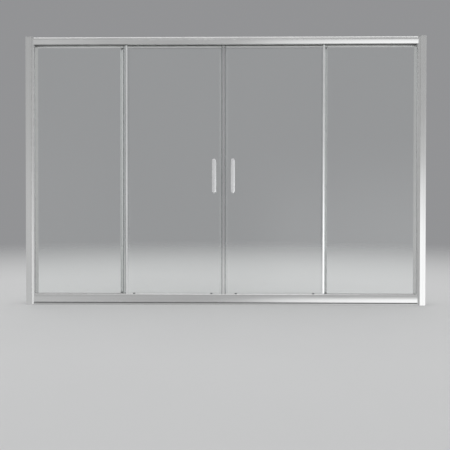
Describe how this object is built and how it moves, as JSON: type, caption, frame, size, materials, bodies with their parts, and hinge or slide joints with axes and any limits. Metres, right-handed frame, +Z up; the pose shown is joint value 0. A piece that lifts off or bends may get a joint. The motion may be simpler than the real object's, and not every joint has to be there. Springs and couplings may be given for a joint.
{
  "type": "bath screen",
  "caption": "Sliding bath screen: fixed glass side panels, sliding glass doors, bright aluminium frame, top rollers, sprung lower guides, clear seals, magnetic meeting edge and bar handles.",
  "frame": {"origin": "middle of the bottom rail's underside, which stands on the bath's rim, half way between the walls", "axes": "+X right along the screen as seen from the room, +Y from the room into the bath, +Z up"},
  "size_m": [1.7, 0.075, 1.142],
  "materials": {
    "wall_profile_aluminium": "bright satin anodised",
    "side_profile_aluminium": "bright polished",
    "rail_aluminium": "bright polished",
    "clear_glass": "clear toughened glass with polished edges",
    "gasket_rubber": "matt grey",
    "clear_seal": "translucent soft plastic",
    "magnet_rubber": "dark grey magnetic rubber",
    "cap_plastic": "silver grey moulding",
    "steel": "zinc plated",
    "spring_steel": "bare spring wire",
    "bumper_rubber": "black rubber",
    "handle_chrome": "polished chrome",
    "washer_plastic": "natural nylon",
    "bush_metal": "bright chrome",
    "wheel_nylon": "white nylon",
    "guide_plastic": "light grey moulding",
    "slider_plastic": "dark grey moulding"
  },
  "bodies": {
    "frame": {"wall_profile_left": "wall_profile_aluminium", "wall_profile_right": "wall_profile_aluminium", "side_profile_left": "side_profile_aluminium", "side_profile_right": "side_profile_aluminium", "top_rail": "rail_aluminium", "bottom_rail": "rail_aluminium", "fixed_glass_left": "clear_glass", "fixed_glass_right": "clear_glass", "glass_gasket_left": "gasket_rubber", "glass_gasket_right": "gasket_rubber", "fixed_edge_seal_left": "clear_seal", "fixed_edge_seal_right": "clear_seal", "post_caps": "cap_plastic", "corner_screws": "steel", "clamp_screws": "steel", "screw_covers": "cap_plastic", "door_bumpers": "bumper_rubber"},
    "left_door": {"door_glass_left": "clear_glass", "door_edge_seal_left": "clear_seal", "magnet_seal_left": "clear_seal", "magnet_strip_left": "magnet_rubber", "outer_handle_left": "handle_chrome", "inner_handle_left": "handle_chrome", "handle_studs_left": "steel", "handle_washers_left": "washer_plastic", "roller_bushes_left": "bush_metal", "roller_spacers_left": "washer_plastic", "axle_screws_left": "steel", "guide_housings_left": "guide_plastic", "guide_screws_left": "steel", "guide_spring_left_inner": "spring_steel", "guide_spring_left_outer": "spring_steel"},
    "right_door": {"door_glass_right": "clear_glass", "door_edge_seal_right": "clear_seal", "magnet_seal_right": "clear_seal", "magnet_strip_right": "magnet_rubber", "outer_handle_right": "handle_chrome", "inner_handle_right": "handle_chrome", "handle_studs_right": "steel", "handle_washers_right": "washer_plastic", "roller_bushes_right": "bush_metal", "roller_spacers_right": "washer_plastic", "axle_screws_right": "steel", "guide_housings_right": "guide_plastic", "guide_screws_right": "steel", "guide_spring_right_inner": "spring_steel", "guide_spring_right_outer": "spring_steel"},
    "wheel_left_inner": {"wheel_left_inner": "wheel_nylon", "bearing_left_inner": "steel"},
    "guide_slider_left_inner": {"guide_slider_left_inner": "slider_plastic"},
    "wheel_left_outer": {"wheel_left_outer": "wheel_nylon", "bearing_left_outer": "steel"},
    "guide_slider_left_outer": {"guide_slider_left_outer": "slider_plastic"},
    "wheel_right_inner": {"wheel_right_inner": "wheel_nylon", "bearing_right_inner": "steel"},
    "guide_slider_right_inner": {"guide_slider_right_inner": "slider_plastic"},
    "wheel_right_outer": {"wheel_right_outer": "wheel_nylon", "bearing_right_outer": "steel"},
    "guide_slider_right_outer": {"guide_slider_right_outer": "slider_plastic"}
  },
  "joints": [
    {"name": "left_door_slide", "type": "slide", "parent": "frame", "child": "left_door", "axis": [-1, 0, 0], "range_m": [0, 0.357]},
    {"name": "right_door_slide", "type": "slide", "parent": "frame", "child": "right_door", "axis": [1, 0, 0], "range_m": [0, 0.369]},
    {"name": "wheel_left_inner_spin", "type": "hinge", "parent": "left_door", "child": "wheel_left_inner", "pos_m": [-0.074, 0.0125, 1.12395], "axis": [0, 1, 0], "continuous": true},
    {"name": "guide_slider_left_inner_lift", "type": "slide", "parent": "left_door", "child": "guide_slider_left_inner", "axis": [0, 0, 1], "range_m": [0, 0.006], "stiffness_N_per_m": 300, "springref_m": -0.008, "deforming": ["guide_spring_left_inner"]},
    {"name": "wheel_left_outer_spin", "type": "hinge", "parent": "left_door", "child": "wheel_left_outer", "pos_m": [-0.38, 0.0125, 1.12395], "axis": [0, 1, 0], "continuous": true},
    {"name": "guide_slider_left_outer_lift", "type": "slide", "parent": "left_door", "child": "guide_slider_left_outer", "axis": [0, 0, 1], "range_m": [0, 0.006], "stiffness_N_per_m": 300, "springref_m": -0.008, "deforming": ["guide_spring_left_outer"]},
    {"name": "wheel_right_inner_spin", "type": "hinge", "parent": "right_door", "child": "wheel_right_inner", "pos_m": [0.062, 0.0125, 1.12395], "axis": [0, 1, 0], "continuous": true},
    {"name": "guide_slider_right_inner_lift", "type": "slide", "parent": "right_door", "child": "guide_slider_right_inner", "axis": [0, 0, 1], "range_m": [0, 0.006], "stiffness_N_per_m": 300, "springref_m": -0.008, "deforming": ["guide_spring_right_inner"]},
    {"name": "wheel_right_outer_spin", "type": "hinge", "parent": "right_door", "child": "wheel_right_outer", "pos_m": [0.368, 0.0125, 1.12395], "axis": [0, 1, 0], "continuous": true},
    {"name": "guide_slider_right_outer_lift", "type": "slide", "parent": "right_door", "child": "guide_slider_right_outer", "axis": [0, 0, 1], "range_m": [0, 0.006], "stiffness_N_per_m": 300, "springref_m": -0.008, "deforming": ["guide_spring_right_outer"]}
  ],
  "couplings": [
    {"joint": "wheel_left_inner_spin", "follows": "left_door_slide", "rad_per_m": -120.48},
    {"joint": "wheel_left_outer_spin", "follows": "left_door_slide", "rad_per_m": -120.48},
    {"joint": "wheel_right_inner_spin", "follows": "right_door_slide", "rad_per_m": 120.48},
    {"joint": "wheel_right_outer_spin", "follows": "right_door_slide", "rad_per_m": 120.48}
  ]
}
